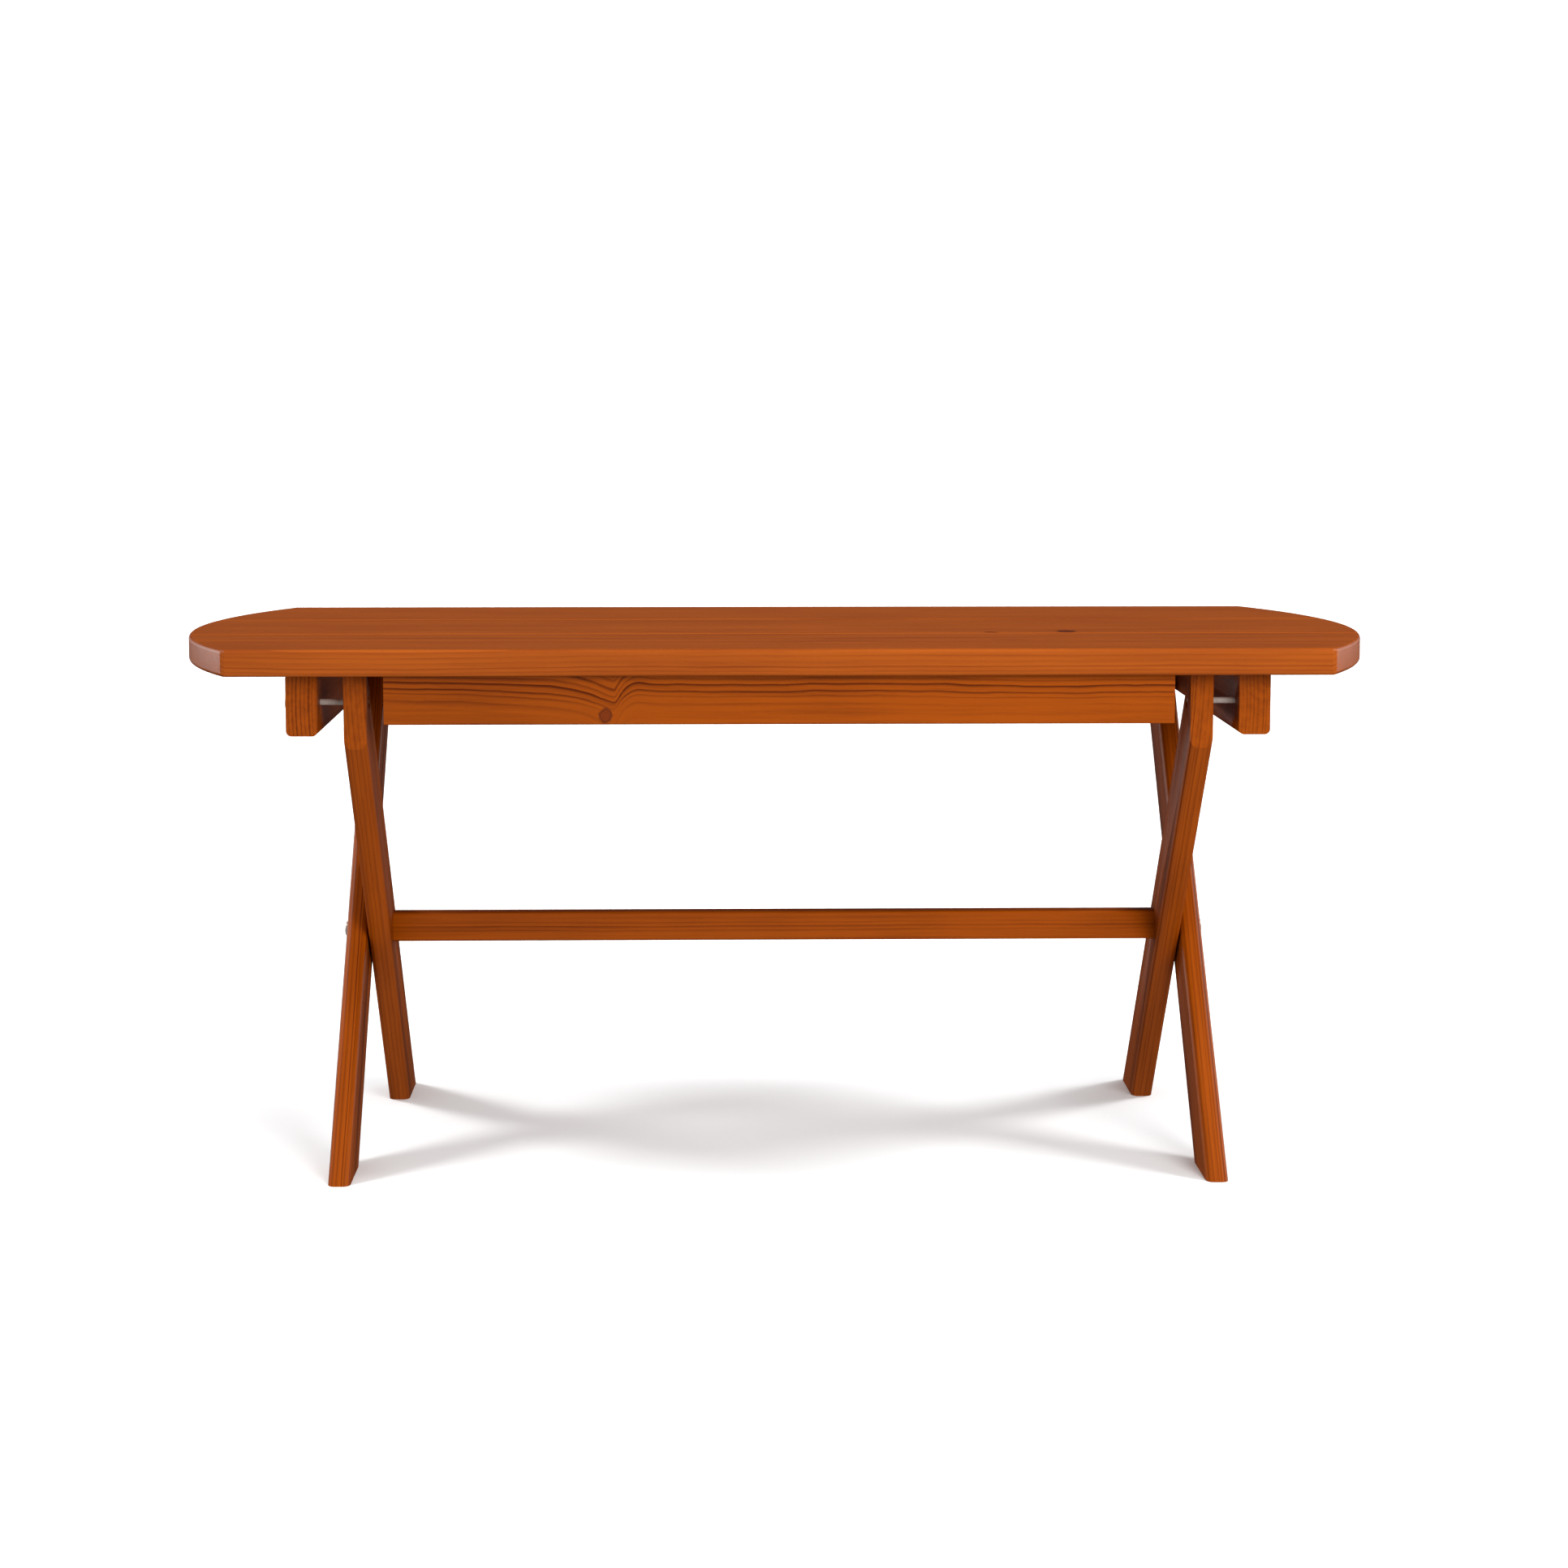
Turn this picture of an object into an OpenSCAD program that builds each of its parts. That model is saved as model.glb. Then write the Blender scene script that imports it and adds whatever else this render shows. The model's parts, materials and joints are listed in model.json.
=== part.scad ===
// Folding garden table: three boards on battens, carried by two crossed pairs of legs.
// X runs along the table, Y from front to back and Z up; the origin is on the ground
// under the middle of the top. It is drawn unfolded.

/* [Table top] */
// Length of the top over its curved ends
top_length = 1574; // [1500:1:1700]
// Depth of the top, front to back
top_depth = 800; // [780:1:860]
// Height of the top surface above the ground
top_height = 700; // [690:1:720]
// Thickness of the boards
board_t = 34; // [30:1:38]
// Gap between neighbouring boards
board_gap = 1; // [0.5:0.5:4]
// Radius of the curved ends, seen from above
end_r = 946; // [850:1:1200]
// Radius of the rounding along the boards' edges
board_edge_r = 5; // [2:0.5:8]

/* [Battens and aprons] */
// Distance from the middle of the table to an end batten's inner face
batten_inner_x = 586.5; // [586.5:0.5:600]
// Thickness of a batten
batten_t = 40; // [34:1:45]
// Height of an end batten
batten_h = 81; // [78:1:90]
// Length of the battens
batten_length = 676; // [670:1:690]
// Radius along the edges of the battens
batten_edge_r = 7; // [2:0.5:10]
// Height of the middle batten
middle_batten_h = 45; // [40:1:50]
// Length of the aprons
apron_length = 998; // [900:1:1020]
// Height of the aprons
apron_h = 63; // [55:1:70]
// Thickness of the aprons
apron_t = 29; // [20:1:30]
// Distance from the middle of the table to an apron's outer face
apron_face_y = 376; // [374:1:385]
// Radius along the lower edges of the aprons
apron_edge_r = 3; // [1:0.5:5]

/* [Legs and stretcher] */
// Thickness of the legs
leg_t = 29; // [28:0.5:29]
// Width of the legs
leg_w = 90; // [80:1:95]
// Slope of the legs, in degrees above the ground
leg_slope = 46; // [45:0.5:47]
// Height at which the middle lines of a pair of legs cross
leg_cross_h = 280; // [270:1:290]
// Distance from the middle of the table to an inner leg's inner face
inner_leg_x = 524; // [520:0.5:524]
// Gap between the inner and the outer leg of a pair
leg_gap = 2; // [2:0.5:2.5]
// Distance from the middle of the table to the upright cut at a leg's upper end
leg_cut_y = 341; // [335:1:345]
// Gap between the legs' upper ends and the boards
leg_top_gap = 0.5; // [0.5:0.5:4]
// Radius along the edges of the legs
leg_edge_r = 9; // [4:0.5:12]
// Height of the stretcher
stretcher_h = 40; // [36:1:45]
// Thickness of the stretcher
stretcher_t = 29; // [25:1:35]
// Height of the stretcher's lower face above the ground
stretcher_z = 268; // [266:1:270]
// Radius along the edges of the stretcher
stretcher_edge_r = 4; // [1:0.5:6]

/* [Bolts and nuts] */
// Distance from the middle of the table to the bolts at the legs' upper ends
pivot_y = 300; // [295:1:305]
// Height of the bolts at the legs' upper ends
pivot_z = 625.5; // [623:0.5:628]
// Height of the bolts where the legs cross
cross_z = 284; // [282:1:285]
// Diameter of the bolts
bolt_d = 8; // [6:1:8]
// Diameter of the bolts' domed heads
head_d = 20; // [16:1:20]
// Height of the bolts' domed heads
head_h = 4.9; // [3:0.1:5]
// Thickness of the washers
washer_t = 1.6; // [1:0.1:1.6]
// Diameter of the screws' shanks
screw_d = 5; // [4:0.5:6]
// Length of the screws under the head
screw_length = 60; // [55:1:64]

/* [Hidden] */
$fn = 64;

underside_z = top_height - board_t;
board_w = (top_depth - 2 * board_gap) / 3;
board_step = board_w + board_gap;
end_centre_x = top_length / 2 - end_r;
disc_sides = 360;

batten_outer_x = batten_inner_x + batten_t;
batten_mid_x = batten_inner_x + batten_t / 2;
inner_leg_outer_x = inner_leg_x + leg_t;
outer_leg_x = inner_leg_outer_x + leg_gap;
outer_leg_outer_x = outer_leg_x + leg_t;
leg_length = 1200;
leg_top_z = underside_z - leg_top_gap;
leg_lean = 90 - leg_slope;

// Clearances: a snug hole, a turning hole, and faces that move past each other
snug = 0.1;
running = 0.05;
clear = 0.4;
slot_h = bolt_d + 1;
through = 2;

neck_h = 5;
nut_across = 13;
nut_h = 8;
washer_r = 8;
counterbore_r = 10;
counterbore_depth = 12;
wide_washer_r = 12;
wide_washer_t = 2;
barrel_r = 5;
barrel_length = 20;
barrel_inset = 34;
bolt_inset = 45;
socket_across = 5;
socket_depth = 3;
dowel_r = 4;
dowel_z = cross_z + 16;
dowel_in_leg = 15;
dowel_in_stretcher = 20;

cross_washer_x = outer_leg_outer_x + clear;
cross_head_x = cross_washer_x + washer_t;
cross_tip_x = inner_leg_x - bolt_inset;
pivot_seat_x = inner_leg_x + counterbore_depth;
pivot_washer_x = pivot_seat_x - clear - washer_t;
pivot_nut_x = pivot_washer_x - nut_h;
pivot_tip_x = pivot_nut_x - 1;
lock_washer_x = batten_outer_x + clear;
wing_nut_x = lock_washer_x + wide_washer_t + clear;
lock_tip_x = wing_nut_x + 18;

wing_hub_r = 8;
wing_hub_h = 9;
wing_t = 3;
wing_reach = 15;
wing_rise = 11;
wing_tip_r = 4.5;

screw_in_board = 24;
screw_seat_z = underside_z + screw_in_board - screw_length;
screw_head_r = 5;
screw_head_h = 3;
screw_tip_h = 6;
screw_hole_r = 6;
screw_y = [-245, -165, -80, 80, 165, 245];
apron_screw_x = [-420, -150, 150, 420];
apron_mid_y = apron_face_y - apron_t / 2;

wood_top = [0.62, 0.29, 0.12];
wood_frame = [0.66, 0.32, 0.09];
wood_dark = [0.50, 0.22, 0.09];
dowel_wood = [0.80, 0.62, 0.40];
zinc = [0.78, 0.77, 0.74];

// ---- shapes that repeat ----

// A rectangle with rounded corners, centred
module rounded_rect(w, h, r) {
    square([w - 2 * r, h], center = true);
    square([w, h - 2 * r], center = true);
    for (x = [-1, 1])
        for (y = [-1, 1])
            translate([x * (w / 2 - r), y * (h / 2 - r)])
                circle(r);
}

// A bar's section with square upper corners and rounded lower ones
module hanging_section(w, h, r) {
    translate([-w / 2, r - h])
        square([w, h - r]);
    translate([r - w / 2, -h])
        square([w - 2 * r, h]);
    for (x = [-1, 1])
        translate([x * (w / 2 - r), r - h])
            circle(r);
}

// A rod along +X, from x0 to x1
module rod_x(x0, x1, r) {
    translate([x0, 0, 0])
        rotate([0, 90, 0])
            cylinder(h = x1 - x0, r = r);
}

// The same piece on the left and on the right
module both_sides() {
    children();
    mirror([1, 0, 0])
        children();
}

// Moves a piece drawn about the X axis to a bolt's line
module at_pivot() {
    translate([0, -pivot_y, pivot_z])
        children();
}

module at_lock() {
    translate([0, pivot_y, pivot_z])
        children();
}

module at_crossing() {
    translate([0, 0, cross_z])
        children();
}

// A domed head whose flat side faces -X at the origin
module domed_head() {
    dome_r = (head_d * head_d / 4 + head_h * head_h) / (2 * head_h);
    rotate([0, 90, 0])
        rotate_extrude()
            intersection() {
                translate([0, head_h - dome_r])
                    circle(dome_r, $fn = 128);
                square([head_d / 2, head_h]);
            }
}

// A washer along +X, from x0
module washer(x0, t, r) {
    difference() {
        rod_x(x0, x0 + t, r);
        rod_x(x0 - through, x0 + t + through, bolt_d / 2 + snug);
    }
}

// A square neck along X, under a domed head
module square_neck(x0, x1, across) {
    translate([x0, -across / 2, -across / 2])
        cube([x1 - x0, across, across]);
}

// ---- table top ----

// A disc with a rounded rim, as thick as the boards: its rim is one curved end
module end_disc() {
    r = board_edge_r;
    rotate_extrude($fn = disc_sides) {
        square([end_r - r, board_t]);
        translate([0, r])
            square([end_r, board_t - 2 * r]);
        for (z = [r, board_t - r])
            translate([end_r - r, z])
                circle(r);
    }
}

// One board of the top; index counts from the front
module board(index) {
    y = (index - 1) * board_step;
    intersection() {
        translate([-top_length / 2, y, top_height - board_t / 2])
            rotate([90, 0, 90])
                linear_extrude(top_length)
                    rounded_rect(board_w, board_t, board_edge_r);
        translate([end_centre_x, 0, underside_z])
            end_disc();
        translate([-end_centre_x, 0, underside_z])
            end_disc();
    }
}

module drilled_board(index) {
    y = (index - 1) * board_step;
    difference() {
        board(index);
        for (x = [-batten_mid_x, 0, batten_mid_x])
            for (sy = screw_y)
                if (abs(sy - y) < board_w / 2)
                    screw_hole(x, sy);
        if (index != 1)
            for (x = apron_screw_x)
                screw_hole(x, (index - 1) * apron_mid_y);
    }
}

module front_board() {
    color(wood_top)
        drilled_board(0);
}

module middle_board() {
    color(wood_top)
        drilled_board(1);
}

module back_board() {
    color(wood_top)
        drilled_board(2);
}

// ---- screws ----

// The narrow hole for a screw, up through a rail and into a board
module screw_hole(x, y) {
    translate([x, y, screw_seat_z - through])
        cylinder(h = screw_length + through + snug, r = screw_d / 2 + snug);
}

// The wide hole that lets a screw's head into a rail
module head_hole(x, y, rail_z) {
    translate([x, y, rail_z - through])
        cylinder(h = screw_seat_z - rail_z + through, r = screw_hole_r);
}

module screw(x, y) {
    r = screw_d / 2;
    straight = screw_length - screw_tip_h;
    translate([x, y, screw_seat_z])
        difference() {
            union() {
                translate([0, 0, -screw_head_h])
                    cylinder(h = screw_head_h, r = screw_head_r);
                cylinder(h = straight, r = r);
                translate([0, 0, straight])
                    cylinder(h = screw_tip_h, r1 = r, r2 = r / 5);
            }
            for (turn = [0, 90])
                rotate([0, 0, turn])
                    translate([-r, -r / 5, -screw_head_h - through])
                        cube([2 * r, 2 * r / 5, through + screw_head_h / 2]);
        }
}

module end_batten_screws() {
    color(zinc)
        for (x = [-batten_mid_x, batten_mid_x])
            for (y = screw_y)
                screw(x, y);
}

module middle_batten_screws() {
    color(zinc)
        for (y = screw_y)
            screw(0, y);
}

module apron_screws() {
    color(zinc)
        for (x = apron_screw_x)
            for (side = [-1, 1])
                screw(x, side * apron_mid_y);
}

// ---- battens and aprons ----

// Places a batten's section, whose top middle is at the origin, under the boards
module along_batten() {
    translate([0, batten_length / 2, underside_z])
        rotate([90, 0, 0])
            linear_extrude(batten_length)
                children();
}

// The right end batten: a hole for the pivot bolt and a slot, open at the back,
// that lets the lock bolt out when the table is folded
module end_batten() {
    difference() {
        translate([batten_mid_x, 0, 0])
            along_batten()
                translate([0, -batten_h / 2])
                    rounded_rect(batten_t, batten_h, batten_edge_r);
        at_pivot() {
            rod_x(batten_inner_x - through, batten_outer_x + through, bolt_d / 2 + snug);
            square_neck(batten_outer_x - neck_h - snug, batten_outer_x + through, bolt_d + 2 * snug);
        }
        at_lock() {
            rod_x(batten_inner_x - through, batten_outer_x + through, slot_h / 2);
            translate([batten_inner_x - through, 0, -slot_h / 2])
                cube([batten_t + 2 * through, batten_length, slot_h]);
        }
        for (y = screw_y) {
            screw_hole(batten_mid_x, y);
            head_hole(batten_mid_x, y, underside_z - batten_h);
        }
    }
}

module left_end_batten() {
    color(wood_frame)
        mirror([1, 0, 0])
            end_batten();
}

module right_end_batten() {
    color(wood_frame)
        end_batten();
}

module middle_batten() {
    color(wood_frame)
        difference() {
            along_batten()
                hanging_section(batten_t, middle_batten_h, batten_edge_r);
            for (y = screw_y) {
                screw_hole(0, y);
                head_hole(0, y, underside_z - middle_batten_h);
            }
        }
}

// An apron along X, under the front edge (side -1) or the back edge (side 1)
module apron(side) {
    y = side * apron_mid_y;
    difference() {
        translate([-apron_length / 2, y, underside_z])
            rotate([90, 0, 90])
                linear_extrude(apron_length)
                    hanging_section(apron_t, apron_h, apron_edge_r);
        for (x = apron_screw_x) {
            screw_hole(x, y);
            head_hole(x, y, underside_z - apron_h);
        }
    }
}

module front_apron() {
    color(wood_frame)
        apron(-1);
}

module back_apron() {
    color(wood_frame)
        apron(1);
}

// ---- legs and stretcher ----

// A leg whose inner face is at x0, cut level at the ground and under the boards and
// upright at its upper end; lean 1 tips its upper end to the front, lean -1 to the back
module leg_bar(x0, lean) {
    intersection() {
        translate([x0 + leg_t / 2, 0, leg_cross_h])
            rotate([lean * leg_lean, 0, 0])
                translate([0, 0, -leg_length / 2])
                    linear_extrude(leg_length)
                        rounded_rect(leg_t, leg_w, leg_edge_r);
        translate([x0 - through, -leg_cut_y, 0])
            cube([leg_t + 2 * through, 2 * leg_cut_y, leg_top_z]);
    }
}

// The right inner leg: its upper end turns on the pivot bolt, at the front
module inner_leg() {
    difference() {
        leg_bar(inner_leg_x, 1);
        at_pivot() {
            rod_x(inner_leg_x - through, inner_leg_outer_x + through, bolt_d / 2 + running);
            rod_x(inner_leg_x - through, pivot_seat_x, counterbore_r);
        }
        at_crossing()
            rod_x(inner_leg_x - through, inner_leg_outer_x + through, bolt_d / 2 + snug);
        translate([0, 0, dowel_z])
            rod_x(inner_leg_x - through, inner_leg_x + dowel_in_leg + snug, dowel_r + snug);
    }
}

// The right outer leg: it turns on the crossing bolt and carries the lock bolt
module outer_leg() {
    difference() {
        leg_bar(outer_leg_x, -1);
        at_crossing()
            rod_x(outer_leg_x - through, outer_leg_outer_x + through, bolt_d / 2 + running);
        at_lock() {
            rod_x(outer_leg_x - through, outer_leg_outer_x + through, bolt_d / 2 + snug);
            square_neck(outer_leg_x - through, outer_leg_x + neck_h + snug, bolt_d + 2 * snug);
        }
    }
}

module left_inner_leg() {
    color(wood_frame)
        mirror([1, 0, 0])
            inner_leg();
}

module right_inner_leg() {
    color(wood_frame)
        inner_leg();
}

module left_outer_leg() {
    color(wood_dark)
        mirror([1, 0, 0])
            outer_leg();
}

module right_outer_leg() {
    color(wood_dark)
        outer_leg();
}

// The rail between the inner legs, drilled at each end for a bolt, its barrel nut
// and a dowel; the barrel nuts go in from below
module stretcher() {
    color(wood_frame)
        difference() {
            translate([-inner_leg_x, 0, stretcher_z + stretcher_h / 2])
                rotate([90, 0, 90])
                    linear_extrude(2 * inner_leg_x)
                        rounded_rect(stretcher_t, stretcher_h, stretcher_edge_r);
            both_sides() {
                at_crossing()
                    rod_x(cross_tip_x - snug, inner_leg_x + through, bolt_d / 2 + snug);
                translate([0, 0, dowel_z])
                    rod_x(inner_leg_x - dowel_in_stretcher - snug, inner_leg_x + through, dowel_r + snug);
                translate([inner_leg_x - barrel_inset, 0, stretcher_z - through])
                    cylinder(h = cross_z + barrel_length / 2 - stretcher_z + through + snug, r = barrel_r + snug);
            }
        }
}

module stretcher_dowels() {
    color(dowel_wood)
        both_sides()
            translate([0, 0, dowel_z])
                rod_x(inner_leg_x - dowel_in_stretcher, inner_leg_x + dowel_in_leg, dowel_r);
}

// ---- pivots between the end battens and the inner legs ----

module pivot_bolts() {
    color(zinc)
        both_sides()
            at_pivot() {
                translate([batten_outer_x, 0, 0])
                    domed_head();
                square_neck(batten_outer_x - neck_h, batten_outer_x, bolt_d);
                rod_x(pivot_tip_x, batten_outer_x, bolt_d / 2);
            }
}

module pivot_washers() {
    color(zinc)
        both_sides()
            at_pivot()
                washer(pivot_washer_x, washer_t, washer_r);
}

module pivot_lock_nuts() {
    color(zinc)
        both_sides()
            at_pivot()
                difference() {
                    intersection() {
                        translate([pivot_nut_x, 0, 0])
                            rotate([0, 90, 0])
                                cylinder(h = nut_h, r = nut_across / sqrt(3), $fn = 6);
                        rod_x(pivot_nut_x, pivot_nut_x + nut_h, nut_across * 0.56);
                    }
                    rod_x(pivot_nut_x - through, pivot_nut_x + nut_h + through, bolt_d / 2 + running);
                }
}

// ---- bolts where the legs cross ----

module crossing_bolts() {
    color(zinc)
        both_sides()
            at_crossing()
                difference() {
                    union() {
                        translate([cross_head_x, 0, 0])
                            domed_head();
                        rod_x(cross_tip_x, cross_head_x, bolt_d / 2);
                    }
                    translate([cross_head_x + head_h - socket_depth, 0, 0])
                        rotate([0, 90, 0])
                            cylinder(h = socket_depth + through, r = socket_across / sqrt(3), $fn = 6);
                }
}

module crossing_head_washers() {
    color(zinc)
        both_sides()
            at_crossing()
                washer(cross_washer_x, washer_t, washer_r);
}

module crossing_leg_washers() {
    color(zinc)
        both_sides()
            at_crossing()
                washer(inner_leg_outer_x, leg_gap - clear, washer_r);
}

module barrel_nuts() {
    color(zinc)
        both_sides()
            at_crossing()
                difference() {
                    translate([inner_leg_x - barrel_inset, 0, -barrel_length / 2])
                        cylinder(h = barrel_length, r = barrel_r);
                    rod_x(cross_tip_x - through, inner_leg_x, bolt_d / 2 + running);
                }
}

// ---- lock bolts and wing nuts at the outer legs' upper ends ----

// The right lock bolt: its head is on the outer leg's inner face
module lock_bolt() {
    at_lock() {
        translate([outer_leg_x, 0, 0])
            mirror([1, 0, 0])
                domed_head();
        square_neck(outer_leg_x, outer_leg_x + neck_h, bolt_d);
        rod_x(outer_leg_x, lock_tip_x, bolt_d / 2);
    }
}

module left_lock_bolt() {
    color(zinc)
        mirror([1, 0, 0])
            lock_bolt();
}

module right_lock_bolt() {
    color(zinc)
        lock_bolt();
}

module left_spacer_washer() {
    color(zinc)
        mirror([1, 0, 0])
            at_lock()
                washer(outer_leg_outer_x, washer_t, washer_r);
}

module right_spacer_washer() {
    color(zinc)
        at_lock()
            washer(outer_leg_outer_x, washer_t, washer_r);
}

module left_lock_washer() {
    color(zinc)
        mirror([1, 0, 0])
            at_lock()
                washer(lock_washer_x, wide_washer_t, wide_washer_r);
}

module right_lock_washer() {
    color(zinc)
        at_lock()
            washer(lock_washer_x, wide_washer_t, wide_washer_r);
}

// One wing's outline: across is the distance from the bolt, up is along it
module wing_outline() {
    polygon([
        [bolt_d / 2 + 1, 0],
        [wing_hub_r, 0],
        [wing_reach + wing_tip_r, wing_rise],
        [wing_reach - wing_tip_r, wing_rise],
        [bolt_d / 2 + 1, wing_hub_h]
    ]);
    translate([wing_reach, wing_rise])
        circle(wing_tip_r);
}

module wing_nut() {
    at_lock()
        difference() {
            union() {
                rod_x(wing_nut_x, wing_nut_x + wing_hub_h, wing_hub_r);
                translate([wing_nut_x, 0, 0])
                    for (side = [0, 1])
                        mirror([0, side, 0])
                            translate([0, 0, -wing_t / 2])
                                linear_extrude(wing_t)
                                    mirror([1, -1])
                                        wing_outline();
            }
            rod_x(wing_nut_x - through, wing_nut_x + wing_hub_h + through, bolt_d / 2 + running);
        }
}

module left_wing_nut() {
    color(zinc)
        mirror([1, 0, 0])
            wing_nut();
}

module right_wing_nut() {
    color(zinc)
        wing_nut();
}

front_board();
middle_board();
back_board();
left_end_batten();
right_end_batten();
middle_batten();
front_apron();
back_apron();
left_inner_leg();
right_inner_leg();
left_outer_leg();
right_outer_leg();
stretcher();
stretcher_dowels();
end_batten_screws();
middle_batten_screws();
apron_screws();
pivot_bolts();
pivot_washers();
pivot_lock_nuts();
crossing_bolts();
crossing_head_washers();
crossing_leg_washers();
barrel_nuts();
left_lock_bolt();
right_lock_bolt();
left_spacer_washer();
right_spacer_washer();
left_lock_washer();
right_lock_washer();
left_wing_nut();
right_wing_nut();
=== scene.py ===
import json
import math

import bmesh
import bpy
from bpy.props import FloatProperty, FloatVectorProperty, PointerProperty
from mathutils import Matrix, Vector


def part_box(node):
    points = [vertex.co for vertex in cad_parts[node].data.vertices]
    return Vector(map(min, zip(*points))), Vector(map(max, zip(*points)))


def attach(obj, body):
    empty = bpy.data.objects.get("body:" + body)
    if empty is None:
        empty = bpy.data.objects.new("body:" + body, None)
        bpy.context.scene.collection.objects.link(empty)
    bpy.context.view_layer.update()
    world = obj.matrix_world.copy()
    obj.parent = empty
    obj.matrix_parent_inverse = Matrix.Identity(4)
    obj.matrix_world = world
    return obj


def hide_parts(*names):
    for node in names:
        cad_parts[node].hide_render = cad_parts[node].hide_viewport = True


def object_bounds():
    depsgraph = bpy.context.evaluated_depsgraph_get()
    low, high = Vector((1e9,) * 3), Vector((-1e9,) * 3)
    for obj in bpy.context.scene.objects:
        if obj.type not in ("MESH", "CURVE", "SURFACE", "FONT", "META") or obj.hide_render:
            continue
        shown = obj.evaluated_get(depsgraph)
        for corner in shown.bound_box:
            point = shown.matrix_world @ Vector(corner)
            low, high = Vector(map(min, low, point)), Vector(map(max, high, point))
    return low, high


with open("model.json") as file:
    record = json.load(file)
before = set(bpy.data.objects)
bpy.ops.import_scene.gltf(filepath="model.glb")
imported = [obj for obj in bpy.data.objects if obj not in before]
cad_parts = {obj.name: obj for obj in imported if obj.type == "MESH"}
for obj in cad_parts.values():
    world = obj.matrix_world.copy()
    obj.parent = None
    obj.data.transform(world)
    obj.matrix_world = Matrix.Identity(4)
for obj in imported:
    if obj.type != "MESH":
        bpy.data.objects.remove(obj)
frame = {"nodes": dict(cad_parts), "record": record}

bl_info = {
    "name": "Folding garden table",
    "version": (1, 0, 0),
    "blender": (4, 5, 0),
    "location": "View3D > Sidebar > Table",
    "description": "Builds a folding garden table's boards, legs and fittings round its frame",
    "category": "Add Mesh",
}

MM = 0.001
SHARP_ANGLE = math.radians(30)
CAD_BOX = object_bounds()
BODIES = frame["record"]["behaviour"]["bodies"]
BODY_OF = {node: body for body, nodes in BODIES.items() for node in nodes}

ALONG_X = Vector((1, 0, 0))
ALONG_Y = Vector((0, 1, 0))
ALONG_Z = Vector((0, 0, 1))

MATERIAL = ("Material", "NodeSocketMaterial", None)
LAID_ALONG_X = (0, math.pi / 2, 0)

KNOT_COLOUR = (0.1, 0.014, 0.004, 1)
KNOT_RIM_COLOUR = (0.04, 0.007, 0.003, 1)
BEECH_COLOUR = (0.55, 0.36, 0.2, 1)
BEECH_FLECK_COLOUR = (0.36, 0.2, 0.09, 1)


# ---- the frame's measures ----


def middle(node):
    low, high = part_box(node)
    return (low + high) / 2


def solids(node):
    """The box of each separate solid in a CAD node, sorted from left to right."""
    mesh = bmesh.new()
    mesh.from_mesh(frame["nodes"][node].data)
    bmesh.ops.remove_doubles(mesh, verts=mesh.verts, dist=0.01 * MM)
    left = set(mesh.verts)
    boxes = []
    while left:
        reached = [left.pop()]
        for vert in reached:
            for edge in vert.link_edges:
                other = edge.other_vert(vert)
                if other in left:
                    left.discard(other)
                    reached.append(other)
        places = [vert.co.copy() for vert in reached]
        low = Vector(min(place[axis] for place in places) for axis in range(3))
        high = Vector(max(place[axis] for place in places) for axis in range(3))
        boxes.append((low, high))
    mesh.free()
    return sorted(boxes, key=lambda box: tuple(box[0]))


def leg_direction(node):
    """The way a leg rises from its foot, found from its upright cut and its slope."""
    low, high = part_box(node)
    lean = -1 if -low.y > high.y else 1
    slope = bpy.context.scene.table_finish.leg_slope
    return Vector((0, lean * math.cos(slope), math.sin(slope)))


# ---- node trees ----


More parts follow.
